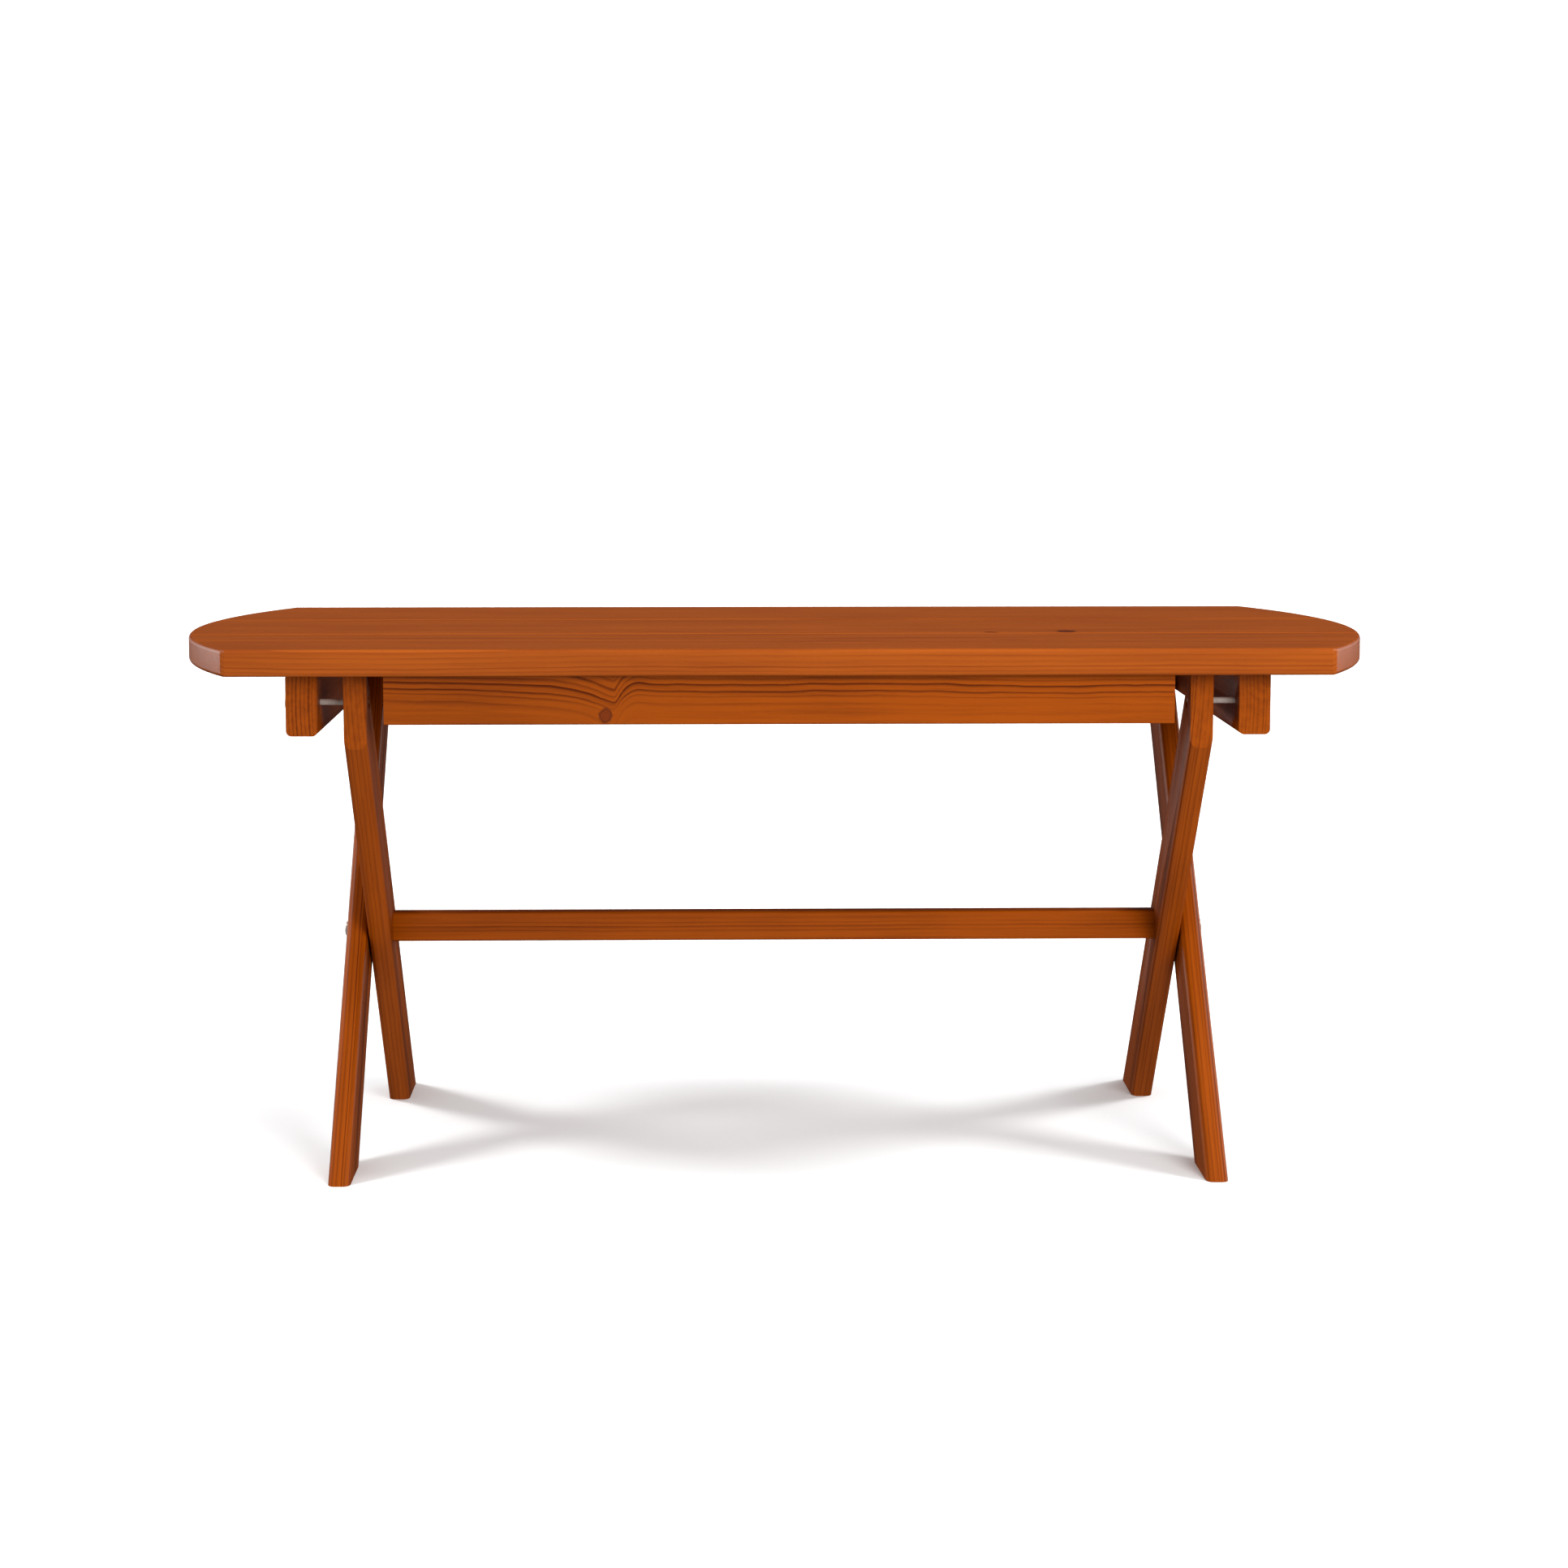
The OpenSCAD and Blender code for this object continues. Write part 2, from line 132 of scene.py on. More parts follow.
class Graph:
    """A node tree that is filled one node at a time."""

    def __init__(self, tree):
        self.tree = tree

    @classmethod
    def group(cls, name, kind, inputs, outputs):
        """A new node group with named sockets, given as (name, socket kind, default)."""
        tree = bpy.data.node_groups.new(name, kind)
        for label, socket, default in inputs:
            made = tree.interface.new_socket(label, in_out="INPUT", socket_type=socket)
            if default is not None:
                made.default_value = default
        for label, socket in outputs:
            tree.interface.new_socket(label, in_out="OUTPUT", socket_type=socket)
        graph = cls(tree)
        graph.given = graph.add("NodeGroupInput").outputs
        graph.result = graph.add("NodeGroupOutput").inputs
        return graph

    def give(self, **results):
        """Links a group's results, and returns its tree."""
        for word, value in results.items():
            self.feed(self.result[titled(word)], value)
        return self.tree

    def feed(self, socket, value):
        """Links a socket to an output, or sets its value."""
        if isinstance(value, bpy.types.NodeSocket):
            self.tree.links.new(value, socket)
        elif value is not None:
            socket.default_value = value

    def add(self, kind, inputs=None, **settings):
        """Adds a node with its settings; inputs are {socket name or number: value}."""
        node = self.tree.nodes.new(kind)
        for key, value in settings.items():
            setattr(node, key, value)
        for key, value in (inputs or {}).items():
            self.feed(node.inputs[key], value)
        return node

    def math(self, operation, *values):
        inputs = dict(enumerate(values))
        return self.add("ShaderNodeMath", inputs, operation=operation).outputs[0]

    def plus(self, first, second):
        return self.math("ADD", first, second)

    def minus(self, first, second):
        return self.math("SUBTRACT", first, second)

    def over(self, first, second):
        return self.math("DIVIDE", first, second)

    def times(self, first, *others):
        for other in others:
            first = self.math("MULTIPLY", first, other)
        return first

    def linear(self, value, slope, start):
        return self.math("MULTIPLY_ADD", value, slope, start)

    def centred(self, colour):
        """Moves a noise colour from round a half to round nothing."""
        return self.vector("SUBTRACT", colour, (0.5, 0.5, 0.5))

    def vector(self, operation, *values):
        inputs = dict(enumerate(values))
        node = self.add("ShaderNodeVectorMath", inputs, operation=operation)
        return node.outputs["Value" if operation == "LENGTH" else "Vector"]

    def scaled(self, vector, factor):
        node = self.add("ShaderNodeVectorMath", {0: vector, "Scale": factor}, operation="SCALE")
        return node.outputs["Vector"]

    def combine(self, x, y, z):
        return self.add("ShaderNodeCombineXYZ", {0: x, 1: y, 2: z}).outputs[0]

    def split(self, vector):
        return self.add("ShaderNodeSeparateXYZ", {0: vector}).outputs

    def ramp(self, value, low, high, first=0.0, last=1.0):
        """Rises smoothly from first to last while value goes from low to high."""
        inputs = dict(enumerate((value, low, high, first, last)))
        return self.add("ShaderNodeMapRange", inputs, interpolation_type="SMOOTHSTEP").outputs[0]

    def mix(self, factor, first, second):
        node = self.add("ShaderNodeMix", {0: factor, 6: first, 7: second}, data_type="RGBA")
        return node.outputs[2]

    def noise(self, place, scale, detail=2.0, roughness=0.5):
        inputs = {"Vector": place, "Scale": scale, "Detail": detail, "Roughness": roughness}
        return self.add("ShaderNodeTexNoise", inputs).outputs

    def bump(self, strength, depth, height):
        inputs = {"Strength": strength, "Distance": depth, "Height": height}
        return self.add("ShaderNodeBump", inputs).outputs[0]


def shade_group(name, inputs, outputs):
    return Graph.group(name, "ShaderNodeTree", inputs, outputs)


def shared_group(name, make):
    return bpy.data.node_groups.get(name) or make()


def new_material(name):
    """A material and its empty node tree."""
    material = bpy.data.materials.new(name)
    material.use_nodes = True
    material.node_tree.nodes.clear()
    return material, Graph(material.node_tree)


def end_with_surface(graph, inputs):
    """Ends a material with one principled shader."""
    shader = graph.add("ShaderNodeBsdfPrincipled", inputs)
    graph.add("ShaderNodeOutputMaterial", {"Surface": shader.outputs[0]})


def titled(word):
    """A socket's name from a keyword."""
    return word.replace("_", " ").title()


def numbers(**values):
    """Number sockets from names and defaults."""
    return [(titled(word), "NodeSocketFloat", value) for word, value in values.items()]


# ---- pine ----


def branch_group():
    """How the grain runs round one branch that crosses the face: places are in mm."""
    graph = shade_group(
        "Branch",
        [
            ("Place", "NodeSocketVector", None),
            ("Centre", "NodeSocketVector", (0, 0, 0)),
            *numbers(half_length=10.0, half_width=7.0, reach=40.0, squeeze=0.6, pull=0.0, skew=0.0),
        ],
        [("Place", "NodeSocketVector"), ("Knot", "NodeSocketFloat"), ("Rim", "NodeSocketFloat")],
    )
    place, centre, length, width, reach, squeeze, pull, skew = graph.given[:8]
    ragged = graph.noise(place, 0.12, 3.0)["Color"]
    ragged = graph.scaled(graph.centred(ragged), 5.0)
    away = graph.vector("SUBTRACT", graph.vector("ADD", place, ragged), centre)
    along, across, _ = graph.split(away)
    near = graph.math("POWER", graph.over(along, reach), 2.0)
    beside = graph.math("POWER", graph.over(across, graph.times(reach, 0.6)), 2.0)
    close = graph.math("EXPONENT", graph.times(graph.plus(near, beside), -1.0))
    # the lines dive slowly to a point past the branch, and climb fast beyond it, over their level
    beyond = graph.linear(skew, -20.0, along)
    side = graph.ramp(beyond, -6.0, 6.0, -1.0, 1.0)
    run = graph.times(reach, graph.linear(graph.times(side, skew), -1.0, 1.0))
    dive = graph.over(graph.math("ABSOLUTE", beyond), run)
    dive = graph.math("EXPONENT", graph.times(graph.math("POWER", dive, 1.3), -1.0))
    hump = graph.over(graph.minus(beyond, reach), reach)
    hump = graph.math("EXPONENT", graph.times(hump, hump, -2.0))
    hump = graph.times(hump, skew, -0.35)
    shift = graph.times(pull, graph.plus(dive, hump))
    shrink = graph.times(across, squeeze, close)
    shift = graph.minus(shift, shrink)
    moved = graph.vector("ADD", place, graph.combine(0.0, shift, 0.0))
    out = graph.combine(graph.over(along, length), graph.over(across, width), 0.0)
    out = graph.vector("LENGTH", out)
    knot = graph.ramp(out, 0.8, 1.05, 1.0, 0.0)
    outer = graph.times(graph.ramp(out, 0.62, 0.95), graph.ramp(out, 1.0, 1.3, 1.0, 0.0))
    rings = graph.linear(graph.math("SINE", graph.times(out, 17.0)), 0.25, 0.25)
    rim = graph.math("MAXIMUM", outer, graph.times(rings, knot))
    return graph.give(place=moved, knot=knot, rim=rim)


def pine_group():
    """Stained pine cut from a log whose heart lies along X, with places in mm."""
    graph = shade_group(
        "Stained pine",
        [
            ("Place", "NodeSocketVector", None),
            *numbers(ring_width=5.5, waver=6.0, contrast=1.0, number=0.0),
            ("Earlywood", "NodeSocketColor", (0.3, 0.07, 0.006, 1)),
            ("Latewood", "NodeSocketColor", (0.12, 0.02, 0.002, 1)),
            *numbers(roughness=0.4, knot=0.0, rim=0.0),
        ],
        [
            ("Colour", "NodeSocketColor"),
            ("Roughness", "NodeSocketFloat"),
            ("Relief", "NodeSocketFloat"),
        ],
    )
    place, ring_width, waver, contrast, number, early, late, rough, knot, rim = graph.given[:10]
    own = graph.vector("ADD", place, graph.scaled(graph.combine(311.0, 47.0, 83.0), number))

    # the log bends slowly along its length, and each ring wavers a little
    bend = graph.noise(graph.vector("MULTIPLY", own, (0.0021, 0.004, 0.004)), 1.0, 2.0)["Color"]
    bend = graph.scaled(graph.centred(bend), graph.times(waver, 2.0))
    ripple = graph.noise(graph.vector("MULTIPLY", own, (0.011, 0.014, 0.014)), 1.0, 3.0)["Color"]
    ripple = graph.scaled(graph.centred(ripple), graph.times(waver, 0.5))
    bent = graph.vector("ADD", place, graph.vector("ADD", bend, ripple))
    out = graph.vector("LENGTH", graph.vector("MULTIPLY", bent, (0, 1, 1)))
    count = graph.over(out, ring_width)
    inputs = {"W": graph.plus(graph.times(count, 0.37), number), "Scale": 1.0}
    good_years = graph.add("ShaderNodeTexNoise", inputs, noise_dimensions="1D").outputs["Fac"]
    count = graph.plus(count, graph.times(good_years, 1.6))
    ring = graph.math("FLOOR", count)
    season = graph.math("FRACT", count)

    # latewood darkens towards the end of a season and stops sharply
    inputs = {"W": graph.plus(ring, number)}
    strong = graph.add("ShaderNodeTexWhiteNoise", inputs, noise_dimensions="1D").outputs["Value"]
    strong = graph.linear(strong, 0.75, 0.25)
    band = graph.math("POWER", graph.ramp(season, 0.3, 0.9), 1.7)
    band = graph.times(band, graph.ramp(season, 0.93, 1.0, 1.0, 0.0), strong, contrast)

    # fibres, streaks where the stain went in deeper, and short resin canals
    fibre = graph.noise(graph.vector("MULTIPLY", own, (0.018, 0.9, 0.9)), 1.0, 3.0, 0.6)["Fac"]
    streak = graph.noise(graph.vector("MULTIPLY", own, (0.0035, 0.13, 0.13)), 1.0, 3.0)["Fac"]
    cloud = graph.noise(graph.vector("MULTIPLY", own, (0.004, 0.012, 0.012)), 1.0, 2.0)["Fac"]
    canal = graph.noise(graph.vector("MULTIPLY", own, (0.09, 1.3, 1.3)), 1.0, 0.0)["Fac"]
    canal = graph.times(graph.ramp(canal, 0.68, 0.76), 0.12)
    dark = graph.linear(graph.minus(fibre, 0.5), 0.5, band)
    dark = graph.linear(graph.minus(streak, 0.5), 0.8, dark)
    dark = graph.linear(graph.minus(cloud, 0.5), 0.6, dark)
    dark = graph.plus(graph.plus(dark, canal), 0.1)
    dark = graph.add("ShaderNodeClamp", {0: dark}).outputs[0]
    colour = graph.mix(dark, early, late)
    colour = graph.mix(knot, colour, KNOT_COLOUR)
    colour = graph.mix(rim, colour, KNOT_RIM_COLOUR)

    gloss = graph.linear(band, -0.08, rough)
    gloss = graph.linear(graph.minus(fibre, 0.5), 0.16, gloss)
    relief = graph.linear(fibre, 0.5, graph.times(band, 0.8))
    relief = graph.minus(relief, canal)
    return graph.give(colour=colour, roughness=gloss, relief=relief)


def branch(spot, dark, **sizes):
    """A branch that crosses a face at spot: how dark its knot is, and its group's inputs."""
    return spot, dark, {titled(word): size for word, size in sizes.items()}


def pine(name, centre, along, across, heart, number, **figure):
    """A pine material for one piece: along is its grain, across a second way over its best
    face, and heart the log's heart seen from centre. The figure may give boards, rings,
    contrast and waver, the band over which the lines set in, and branches in the face."""
    boards = figure.get("boards", False)
    contrast = figure.get("contrast", 1.0)
    finish = bpy.context.scene.table_finish
    material, graph = new_material(name)
    axes = Matrix((along, across, along.cross(across))).transposed()
    place = graph.add(
        "ShaderNodeMapping",
        {
            "Vector": graph.add("ShaderNodeTexCoord").outputs["Object"],
            "Location": centre + heart,
            "Rotation": axes.to_euler(),
            "Scale": (MM, MM, MM),
        },
        vector_type="TEXTURE",
    ).outputs[0]
    knot = 0.0
    rim = 0.0
    back = axes.inverted()
    if "band" in figure:
        low, high = (edge - heart.dot(across) / MM for edge in figure["band"])
        contrast = graph.ramp(graph.split(place)[1], low, high, 0.12 * contrast, contrast)
    for spot, dark, sizes in figure.get("branches", ()):
        inputs = {"Place": place, "Centre": back @ (spot - centre - heart) / MM, **sizes}
        tree = shared_group("Branch", branch_group)
        crossed = graph.add("ShaderNodeGroup", inputs, node_tree=tree).outputs
        place = crossed["Place"]
        knot = graph.math("MAXIMUM", knot, graph.times(crossed["Knot"], dark))
        rim = graph.math("MAXIMUM", rim, graph.times(crossed["Rim"], dark))
    early = finish.board_earlywood if boards else finish.frame_earlywood
    late = finish.board_latewood if boards else finish.frame_latewood
    inputs = {
        "Place": place,
        "Ring Width": figure.get("rings", 1.0) * finish.ring_width / MM,
        "Waver": figure.get("waver", 6.0),
        "Contrast": contrast,
        "Number": float(number),
        "Earlywood": (*early, 1),
        "Latewood": (*late, 1),
        "Roughness": finish.varnish_roughness,
        "Knot": knot,
        "Rim": rim,
    }
    tree = shared_group("Stained pine", pine_group)
    wood = graph.add("ShaderNodeGroup", inputs, node_tree=tree).outputs
    inputs = {
        "Base Color": wood["Colour"],
        "Roughness": wood["Roughness"],
        "Specular IOR Level": finish.board_shine if boards else finish.frame_shine,
        "Normal": graph.bump(0.35, 0.15 * MM, wood["Relief"]),
    }
    end_with_surface(graph, inputs)
    return material


# ---- other materials ----


def zinc():
    """Zinc-plated steel with a soft crystal pattern."""
    found = bpy.data.materials.get("zinc_plate")
    if found:
        return found
    fittings = bpy.context.scene.table_fittings
    material, graph = new_material("zinc_plate")
    place = graph.add("ShaderNodeTexCoord").outputs["Object"]
    crystal = graph.add("ShaderNodeTexVoronoi", {"Vector": place, "Scale": 700.0}).outputs["Color"]
    shade = graph.linear(graph.split(crystal)[0], 0.16, 0.86)
    wear = graph.noise(place, 240.0, 4.0, 0.6)["Fac"]
    colour = graph.scaled((*fittings.zinc_colour,), graph.linear(wear, 0.2, shade))
    rough = graph.linear(wear, 0.25, 0.28)
    bump = graph.bump(0.2, 0.05 * MM, wear)
    inputs = {"Base Color": colour, "Metallic": fittings.metal, "Roughness": rough, "Normal": bump}
    end_with_surface(graph, inputs)
    return material


def beech():
    """Plain beech: pale, with fine short flecks along the dowels."""
    material, graph = new_material("dowel_beech")
    place = graph.add("ShaderNodeTexCoord").outputs["Object"]
    fleck = graph.noise(graph.vector("MULTIPLY", place, (160.0, 1500.0, 1500.0)), 1.0, 2.0)["Fac"]
    colour = graph.mix(graph.ramp(fleck, 0.4, 0.75), BEECH_COLOUR, BEECH_FLECK_COLOUR)
    bump = graph.bump(0.2, 0.1 * MM, fleck)
    end_with_surface(graph, {"Base Color": colour, "Roughness": 0.6, "Normal": bump})
    return material


# ---- pieces ----


def new_object(name, data):
    obj = bpy.data.objects.new(name, data)
    bpy.context.scene.collection.objects.link(obj)
    return obj


def finished(node, obj, material=None):
    """Turns an object, with its modifiers, into one plain mesh that stands for a CAD node."""
    name = node + "_made"
    bpy.context.view_layer.update()
    graph = bpy.context.evaluated_depsgraph_get()
    mesh = bpy.data.meshes.new_from_object(obj.evaluated_get(graph), depsgraph=graph)
    bpy.data.objects.remove(obj)
    mesh.name = name
    piece = new_object(name, mesh)
    if material:
        mesh.materials.clear()
        mesh.materials.append(material)
    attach(piece, BODY_OF[node])
    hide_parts(node)
    return piece


def eased(node, material, width, segments=2):
    """A merged copy of a CAD node with its sharp arrises eased."""
    mesh = frame["nodes"][node].data.copy()
    shape = bmesh.new()
    shape.from_mesh(mesh)
    bmesh.ops.remove_doubles(shape, verts=shape.verts, dist=0.005 * MM)
    bmesh.ops.dissolve_limit(
        shape,
        angle_limit=math.radians(0.2),
        verts=shape.verts,
        edges=shape.edges,
        delimit={"NORMAL"},
    )
    for face in shape.faces:
        face.smooth = True
    shape.to_mesh(mesh)
    shape.free()
    obj = new_object(node + "_blank", mesh)
    bevel = obj.modifiers.new("ease", "BEVEL")
    bevel.width = width
    bevel.segments = segments
    bevel.limit_method = "ANGLE"
    bevel.angle_limit = SHARP_ANGLE
    bevel.harden_normals = True
    finished(node, obj, material)


def sawn(node, along, across, heart, number, ease=1.0, **figure):
    """A piece of the frame in pine of its own; ease is its share of the usual eased width."""
    material = pine(node + "_pine", middle(node), along, across, heart, number, **figure)
    width = bpy.context.scene.table_finish.eased_width * ease
    eased(node, material, width)


def grown(node, tree, points, inputs):
    """Runs a geometry tree on points, each a (place, facing) pair, in a CAD node's stead."""
    mesh = bpy.data.meshes.new(node)
    mesh.from_pydata([place for place, _ in points], [], [])
    facing = mesh.attributes.new("facing", "FLOAT_VECTOR", "POINT")
    for item, (_, way) in zip(facing.data, points):
        item.vector = way
    obj = new_object(node + "_points", mesh)
    modifier = obj.modifiers.new("grow", "NODES")
    modifier.node_group = tree
    for socket in tree.interface.items_tree:
        if socket.in_out == "INPUT" and socket.name in inputs:
            modifier[socket.identifier] = inputs[socket.name]
    piece = finished(node, obj)
    piece.data.shade_smooth()
    piece.data.set_sharp_from_angle(angle=math.radians(35))


# ---- geometry trees ----


def shape_group(name, inputs):
    """A geometry group: its inputs are (name, socket kind, default)."""
    given = [("Geometry", "NodeSocketGeometry", None), *inputs]
    return Graph.group(name, "GeometryNodeTree", given, [("Geometry", "NodeSocketGeometry")])


def lengths(**values):
    """Number sockets from names and defaults in mm."""
    return numbers(**{word: size * MM for word, size in values.items()})


def placed(graph, shape, x, turn=(0, 0, 0)):
    """A shape turned, then moved along X."""
    inputs = {"Geometry": shape, "Translation": graph.combine(x, 0.0, 0.0), "Rotation": turn}
    return graph.add("GeometryNodeTransform", inputs).outputs[0]


def straight_line(graph, start, end, steps):
    """A line along X with evenly spaced points."""
    ends = {"Start": graph.combine(start, 0.0, 0.0), "End": graph.combine(end, 0.0, 0.0)}
    line = graph.add("GeometryNodeCurvePrimitiveLine", ends).outputs[0]
    return graph.add("GeometryNodeResampleCurve", {"Curve": line, "Count": steps}).outputs[0]


def circle(graph, sides, radius):
    inputs = {"Resolution": sides, "Radius": radius}
    return graph.add("GeometryNodeCurvePrimitiveCircle", inputs).outputs[0]


def on_points(graph, shape, material):
    """Puts a shape made along X on each point, turned the point's way, as one mesh."""
    way = graph.add("GeometryNodeInputNamedAttribute", {"Name": "facing"}, data_type="FLOAT_VECTOR")
    turn = graph.add("FunctionNodeAlignRotationToVector", {"Vector": way.outputs[0]}, axis="X")
    inputs = {"Points": graph.given["Geometry"], "Instance": shape, "Rotation": turn.outputs[0]}
    put = graph.add("GeometryNodeInstanceOnPoints", inputs).outputs[0]
    real = graph.add("GeometryNodeRealizeInstances", {0: put}).outputs[0]
    inputs = {"Geometry": real, "Material": material}
    return graph.give(geometry=graph.add("GeometryNodeSetMaterial", inputs).outputs[0])


def turned(graph, start, end, steps, sides, radius):
    """A solid of revolution about X; radius(share) makes its radius from 0 to 1 along it."""
    line = straight_line(graph, start, end, steps)
    index = graph.add("GeometryNodeInputIndex").outputs[0]
    share = graph.over(index, steps - 1.0)
    place, size = radius(share)
    inputs = {"Geometry": line, "Position": graph.combine(place, 0.0, 0.0)}
    line = graph.add("GeometryNodeSetPosition", inputs).outputs[0]
    ring = circle(graph, sides, 1.0)
    inputs = {"Curve": line, "Profile Curve": ring, "Scale": size, "Fill Caps": True}
    return graph.add("GeometryNodeCurveToMesh", inputs).outputs[0]


STEPS_A_TURN = 6.0
THREAD_SIDES = 20
HEAD_STEPS = 16
HEAD_SIDES = 48
WASHER_SIDES = 64


def threaded_group():
    """A threaded rod from X = 0 down to minus its length, tapered over its tip."""
    sizes = lengths(radius=4, length=20, pitch=1.25, depth=0.6, tip=1)
    graph = shape_group("Threaded rod", [*sizes, *numbers(tip_share=0.8)])
    _, radius, length, pitch, depth, tip, tip_share = graph.given[:7]
    steps = graph.times(graph.over(length, pitch), STEPS_A_TURN)
    far = graph.times(length, -1.0)
    line = straight_line(graph, 0.0, far, steps)
    ring = circle(graph, THREAD_SIDES, radius)
    inputs = {"Curve": line, "Profile Curve": ring, "Fill Caps": True}
    rod = graph.add("GeometryNodeCurveToMesh", inputs).outputs[0]
    here = graph.add("GeometryNodeInputPosition").outputs[0]
    x, y, z = graph.split(here)
    angle = graph.over(graph.math("ARCTAN2", z, y), 2 * math.pi)
    turn = graph.math("FRACT", graph.plus(graph.over(x, pitch), angle))
    groove = graph.math("ABSOLUTE", graph.linear(turn, 2.0, -1.0))
    fade = graph.ramp(x, graph.times(pitch, -1.0), 0.0, 1.0, 0.0)
    depth = graph.times(groove, depth, fade)
    from_tip = graph.over(graph.minus(x, far), tip)
    inputs = {0: from_tip, 1: 0.0, 2: 1.0, 3: tip_share, 4: 1.0}
    taper = graph.add("ShaderNodeMapRange", inputs).outputs[0]
    share = graph.times(graph.minus(1.0, graph.over(depth, radius)), taper)
    place = graph.combine(x, graph.times(y, share), graph.times(z, share))
    inputs = {"Geometry": rod, "Position": place}
    return graph.give(geometry=graph.add("GeometryNodeSetPosition", inputs).outputs[0])


def washer_tree():
    """A flat washer with rounded rims, from X = 0 to its thickness."""
    sizes = lengths(outer_radius=8, inner_radius=4.1, thickness=1.6, rim=0.3)
    graph = shape_group("Washer", [*sizes, MATERIAL])
    _, outer, inner, thickness, rim, material = graph.given[:6]
    half = graph.times(graph.plus(outer, inner), 0.5)
    path = circle(graph, WASHER_SIDES, half)
    inputs = {"Width": graph.minus(outer, inner), "Height": thickness}
    section = graph.add("GeometryNodeCurvePrimitiveQuadrilateral", inputs).outputs[0]
    inputs = {"Curve": section, "Count": 3, "Radius": rim}
    section = graph.add("GeometryNodeFilletCurve", inputs, mode="POLY").outputs[0]
    ring = graph.add("GeometryNodeCurveToMesh", {"Curve": path, "Profile Curve": section}).outputs[0]
    ring = placed(graph, ring, graph.times(thickness, 0.5), LAID_ALONG_X)
    return on_points(graph, ring, material)


def cut(graph, shape, *tools):
    """Cuts the tools out of a shape."""
    settings = {"operation": "DIFFERENCE", "solver": "EXACT"}
    node = graph.add("GeometryNodeMeshBoolean", {"Mesh 1": shape}, **settings)
    for tool in tools:
        graph.feed(node.inputs["Mesh 2"], tool)
    return node.outputs[0]


def joined(graph, *shapes):
    node = graph.add("GeometryNodeJoinGeometry")
    for shape in shapes:
        graph.feed(node.inputs[0], shape)
    return node.outputs[0]


def threaded(graph, inputs):
    tree = shared_group("Threaded rod", threaded_group)
    return graph.add("GeometryNodeGroup", inputs, node_tree=tree).outputs[0]


def chosen(graph, switch, without, wanted):
    """One of two shapes, by a yes or no."""
    inputs = {"Switch": switch, "False": without, "True": wanted}
    return graph.add("GeometryNodeSwitch", inputs, input_type="GEOMETRY").outputs[0]


def button(graph, radius, height, flatness):
    """A button head whose flat side is at X = 0; a flatter one has squarer shoulders."""

    def outline(share):
        angle = graph.times(share, math.pi / 2)
        up = graph.math("POWER", graph.math("COSINE", angle), flatness)
        out = graph.math("POWER", graph.math("SINE", angle), flatness)
        return graph.times(up, height), graph.times(out, radius)

    shell = turned(graph, height, 0.0, HEAD_STEPS, HEAD_SIDES, outline)
    inputs = {"Geometry": shell, "Distance": 0.01 * MM}
    return graph.add("GeometryNodeMergeByDistance", inputs).outputs[0]


def bolt_tree():
    """A button-headed bolt: its head's flat side is at X = 0, and its shank runs to -X."""
    sizes = lengths(
        head_radius=10,
        head_height=4.9,
        shank_radius=4,
        length=100,
        thread_length=20,
        pitch=1.25,
        thread_depth=0.6,
        neck_across=8,
        neck_length=5,
        socket_across=5,
        socket_depth=3,
    )
    sizes += [("Has Socket", "NodeSocketBool", True), ("Has Neck", "NodeSocketBool", False)]
    graph = shape_group("Bolt", [*sizes, MATERIAL])
    given = graph.given
    radius = given["Shank Radius"]
    head = button(graph, given["Head Radius"], given["Head Height"], 0.5)
    corner_radius = graph.over(given["Socket Across"], math.sqrt(3))
    inputs = {"Vertices": 6, "Radius": corner_radius, "Depth": given["Socket Depth"]}
    socket = graph.add("GeometryNodeMeshCylinder", inputs).outputs[0]
    socket_x = graph.minus(given["Head Height"], graph.times(given["Socket Depth"], 0.5))
    socket = placed(graph, socket, graph.plus(socket_x, 0.5 * MM), LAID_ALONG_X)
    head = chosen(graph, given["Has Socket"], head, cut(graph, head, socket))
    plain = graph.minus(given["Length"], given["Thread Length"])
    inputs = {"Vertices": 32, "Radius": radius, "Depth": plain}
    shank = graph.add("GeometryNodeMeshCylinder", inputs).outputs[0]
    shank = placed(graph, shank, graph.times(plain, -0.5), LAID_ALONG_X)
    neck_size = graph.combine(given["Neck Length"], given["Neck Across"], given["Neck Across"])
    neck = graph.add("GeometryNodeMeshCube", {"Size": neck_size}).outputs[0]
    neck = placed(graph, neck, graph.times(given["Neck Length"], -0.5))
    neck = chosen(graph, given["Has Neck"], None, neck)
    inputs = {
        "Radius": radius,
        "Length": given["Thread Length"],
        "Pitch": given["Pitch"],
        "Depth": given["Thread Depth"],
        "Tip": given["Pitch"],
    }
    thread = placed(graph, threaded(graph, inputs), graph.times(plain, -1.0))
    return on_points(graph, joined(graph, head, shank, neck, thread), given["Material"])


